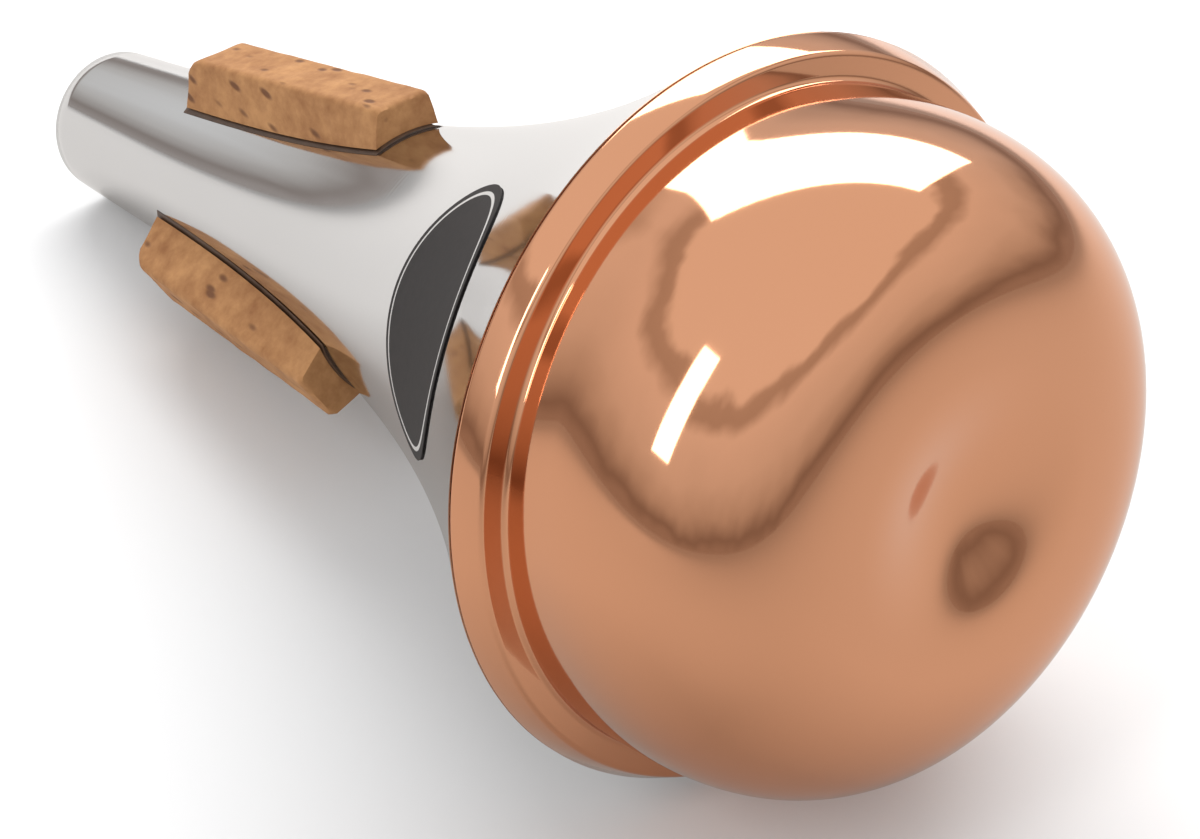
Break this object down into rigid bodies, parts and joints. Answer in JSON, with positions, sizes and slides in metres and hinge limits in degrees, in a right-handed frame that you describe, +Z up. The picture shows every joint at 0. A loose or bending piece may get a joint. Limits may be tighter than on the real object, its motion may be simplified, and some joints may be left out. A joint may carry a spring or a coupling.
{
  "type": "trumpet straight mute",
  "caption": "Trumpet straight mute: flared aluminium body, domed copper bottom with a dished centre, cork strips on the neck and a blank oval label.",
  "frame": {"origin": "on the surface that the mute lies on, under the middle of its length and width", "axes": "+X towards the copper bottom, +Z up; the mute lies on its small end and its rim, so its own axis rises 14.1 degrees from +X, and cork strip 1 is on top"},
  "size_m": [0.2036, 0.1046, 0.1018],
  "materials": {
    "polished_aluminium": "spun and polished, mirror-like",
    "polished_copper": "spun copper, polished and lacquered, mirror-like",
    "grey_sealant": "matt",
    "cork": "cut cork, matt with pores",
    "dark_glue": "dark contact glue",
    "dark_label": "blank dark film with a thin pale border"
  },
  "bodies": {
    "root": {"body_shell": "polished_aluminium", "bottom_cap": "polished_copper", "rim_sealant": "grey_sealant", "cork_strip_1": "cork", "cork_strip_2": "cork", "cork_strip_3": "cork", "cork_glue_1": "dark_glue", "cork_glue_2": "dark_glue", "cork_glue_3": "dark_glue", "oval_label": "dark_label"}
  },
  "joints": []
}
